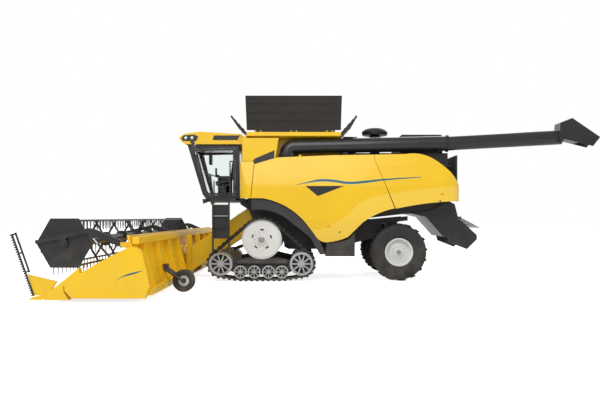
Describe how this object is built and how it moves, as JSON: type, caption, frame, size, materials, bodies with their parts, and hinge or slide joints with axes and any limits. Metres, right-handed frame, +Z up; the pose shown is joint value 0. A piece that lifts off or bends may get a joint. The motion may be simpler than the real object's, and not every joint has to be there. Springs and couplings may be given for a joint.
{
  "type": "tracked combine harvester",
  "caption": "Combine harvester on front rubber tracks and steered rear wheels, with a wide grain header, reel, open tank covers and a long unloading tube.",
  "frame": {"origin": "on the ground, under the middle of the machine's outline with its header on", "axes": "+X towards the header, +Y to the machine's left, +Z up"},
  "size_m": [13.7731, 12.6, 4.8578],
  "materials": {
    "belt": "moulded rubber with a dusty bloom",
    "tyre": "lugged farm tyre",
    "white_metal": "white wheel paint",
    "yellow": "glossy yellow enamel",
    "black_metal": "satin black enamel",
    "dark_metal": "dark grey chassis paint",
    "black_plastic": "grained black moulding",
    "silver": "cast silver",
    "steel": "bare worn steel",
    "chrome": "hard chromed rod",
    "iron": "cast engine block",
    "glass": "lightly tinted cab glass",
    "fabric": "dark woven seat cloth"
  },
  "bodies": {
    "root": {"cab_controls": "black_plastic", "cab_frame": "black_metal", "cab_glass": "glass", "cab_ladder": "black_metal", "cab_roof": "yellow", "drive_wheels": "white_metal", "driver_seat": "fabric", "dust_dome": "black_plastic", "engine_block": "iron", "front_axle": "dark_metal", "front_shields": "yellow", "grain_tank": "yellow", "main_frame": "dark_metal", "radiator_box": "black_plastic", "rear_axle": "dark_metal", "rear_hood": "black_plastic", "side_lockers": "black_plastic", "spreader_frame": "black_metal", "straw_chopper": "black_metal", "threshing_housing": "dark_metal", "track_arches": "black_plastic", "track_belts": "belt", "track_frames": "silver", "track_rollers": "silver", "upper_deck": "dark_metal"},
    "feeder_header": {"feeder_house": "yellow", "header_frame": "yellow", "end_sheets": "yellow", "side_knives": "black_metal", "cutter_bar": "steel", "gauge_arms": "black_metal"},
    "intake_auger": {"intake_auger": "yellow"},
    "reel_arms": {"reel_arms": "yellow"},
    "reel": {"reel": "black_metal"},
    "header_lift_barrels": {"header_lift_barrels": "black_metal"},
    "header_lift_rods": {"header_lift_rods": "chrome"},
    "reel_lift_barrels": {"reel_lift_barrels": "black_metal"},
    "reel_lift_rods": {"reel_lift_rods": "chrome"},
    "gauge_wheel_left": {"gauge_wheel_left": "tyre"},
    "gauge_wheel_right": {"gauge_wheel_right": "tyre"},
    "knuckle_left": {"knuckle_left": "dark_metal"},
    "knuckle_right": {"knuckle_right": "dark_metal"},
    "rear_wheel_left": {"rear_tyre_left": "tyre", "rear_rim_left": "white_metal"},
    "rear_wheel_right": {"rear_tyre_right": "tyre", "rear_rim_right": "white_metal"},
    "unload_inner": {"unload_inner": "black_metal"},
    "unload_outer": {"unload_outer": "black_metal"},
    "side_cover_left": {"side_cover_left": "black_plastic"},
    "side_cover_right": {"side_cover_right": "black_plastic"},
    "front_cover": {"front_cover": "black_plastic"},
    "rear_cover": {"rear_cover": "black_plastic"},
    "cab_door": {"cab_door": "black_metal", "door_glass": "glass"},
    "main_panel_left": {"main_panel_left": "yellow"},
    "main_panel_right": {"main_panel_right": "yellow"},
    "rear_panel_left": {"rear_panel_left": "yellow"},
    "rear_panel_right": {"rear_panel_right": "yellow"}
  },
  "joints": [
    {"name": "feeder_lift", "type": "hinge", "parent": "root", "child": "feeder_header", "pos_m": [2.42, 0, 1.96], "axis": [0, -1, 0], "range_deg": [0, 18]},
    {"name": "header_lift_tilt", "type": "hinge", "parent": "root", "child": "header_lift_barrels", "pos_m": [2.45, 0, 1], "axis": [0, -1, 0], "range_deg": [0, 21.5]},
    {"name": "header_lift_stroke", "type": "slide", "parent": "header_lift_barrels", "child": "header_lift_rods", "axis": [0.9409, 0, -0.3387], "range_m": [0, 0.305]},
    {"name": "reel_lift", "type": "hinge", "parent": "feeder_header", "child": "reel_arms", "pos_m": [4.7, 0, 1.15], "axis": [0, -1, 0], "range_deg": [-6, 12]},
    {"name": "reel_lift_tilt", "type": "hinge", "parent": "feeder_header", "child": "reel_lift_barrels", "pos_m": [4.93, 0, 0.85], "axis": [0, -1, 0], "range_deg": [-8, 12]},
    {"name": "reel_lift_stroke", "type": "slide", "parent": "reel_lift_barrels", "child": "reel_lift_rods", "axis": [0.6685, 0, 0.7437], "range_m": [-0.06, 0.1]},
    {"name": "reel_spin", "type": "hinge", "parent": "reel_arms", "child": "reel", "pos_m": [5.894, 0, 1.169], "axis": [0, 1, 0], "continuous": true},
    {"name": "auger_spin", "type": "hinge", "parent": "feeder_header", "child": "intake_auger", "pos_m": [4.78, 0, 0.48], "axis": [0, 1, 0], "continuous": true},
    {"name": "gauge_spin_left", "type": "hinge", "parent": "feeder_header", "child": "gauge_wheel_left", "pos_m": [3.77, 4.3, 0.262], "axis": [0, 1, 0], "continuous": true},
    {"name": "gauge_spin_right", "type": "hinge", "parent": "feeder_header", "child": "gauge_wheel_right", "pos_m": [3.77, -4.3, 0.262], "axis": [0, 1, 0], "continuous": true},
    {"name": "steer_left", "type": "hinge", "parent": "root", "child": "knuckle_left", "pos_m": [-1.47, 0.88, 0.765], "axis": [0, 0, 1], "range_deg": [-35, 35]},
    {"name": "steer_right", "type": "hinge", "parent": "root", "child": "knuckle_right", "pos_m": [-1.47, -0.88, 0.765], "axis": [0, 0, 1], "range_deg": [-35, 35]},
    {"name": "rear_spin_left", "type": "hinge", "parent": "knuckle_left", "child": "rear_wheel_left", "pos_m": [-1.47, 1.4, 0.765], "axis": [0, 1, 0], "continuous": true},
    {"name": "rear_spin_right", "type": "hinge", "parent": "knuckle_right", "child": "rear_wheel_right", "pos_m": [-1.47, -1.4, 0.765], "axis": [0, 1, 0], "continuous": true},
    {"name": "tube_swing", "type": "hinge", "parent": "root", "child": "unload_inner", "pos_m": [1.5, 1.25, 3.38], "axis": [0, 0, -1], "range_deg": [0, 100]},
    {"name": "tube_fold", "type": "hinge", "parent": "unload_inner", "child": "unload_outer", "pos_m": [-2.822, 0.985, 3.685], "axis": [0, 0, 1], "range_deg": [0, 90]},
    {"name": "side_cover_left_fold", "type": "hinge", "parent": "root", "child": "side_cover_left", "pos_m": [0, 1.455, 4.006], "axis": [1, 0, 0], "range_deg": [0, 121]},
    {"name": "side_cover_right_fold", "type": "hinge", "parent": "root", "child": "side_cover_right", "pos_m": [0, -1.455, 4.006], "axis": [-1, 0, 0], "range_deg": [0, 121]},
    {"name": "front_cover_fold", "type": "hinge", "parent": "root", "child": "front_cover", "pos_m": [2.573, 0, 3.939], "axis": [0, -1, 0], "range_deg": [0, 132]},
    {"name": "rear_cover_fold", "type": "hinge", "parent": "root", "child": "rear_cover", "pos_m": [0.058, 0, 3.939], "axis": [0, 1, 0], "range_deg": [0, 132]},
    {"name": "door_swing", "type": "hinge", "parent": "root", "child": "cab_door", "pos_m": [2.925, 0.974, 2.9], "axis": [0, 0, 1], "range_deg": [0, 70]},
    {"name": "main_panel_left_lift", "type": "hinge", "parent": "root", "child": "main_panel_left", "pos_m": [0, 1.475, 3.34], "axis": [1, 0, 0], "range_deg": [0, 65]},
    {"name": "rear_panel_left_lift", "type": "hinge", "parent": "root", "child": "rear_panel_left", "pos_m": [0, 1.475, 3.34], "axis": [1, 0, 0], "range_deg": [0, 65]},
    {"name": "main_panel_right_lift", "type": "hinge", "parent": "root", "child": "main_panel_right", "pos_m": [0, -1.475, 3.34], "axis": [-1, 0, 0], "range_deg": [0, 65]},
    {"name": "rear_panel_right_lift", "type": "hinge", "parent": "root", "child": "rear_panel_right", "pos_m": [0, -1.475, 3.34], "axis": [-1, 0, 0], "range_deg": [0, 65]}
  ],
  "couplings": [
    {"joint": "header_lift_tilt", "follows": "feeder_lift", "ratio": 1.1666},
    {"joint": "header_lift_stroke", "follows": "feeder_lift", "m_per_rad": 0.93899},
    {"joint": "reel_lift_tilt", "follows": "reel_lift", "ratio": 0.86392},
    {"joint": "reel_lift_stroke", "follows": "reel_lift", "m_per_rad": 0.36708},
    {"joint": "steer_right", "follows": "steer_left", "ratio": 1},
    {"joint": "side_cover_right_fold", "follows": "side_cover_left_fold", "ratio": 1},
    {"joint": "rear_cover_fold", "follows": "front_cover_fold", "ratio": 1}
  ]
}
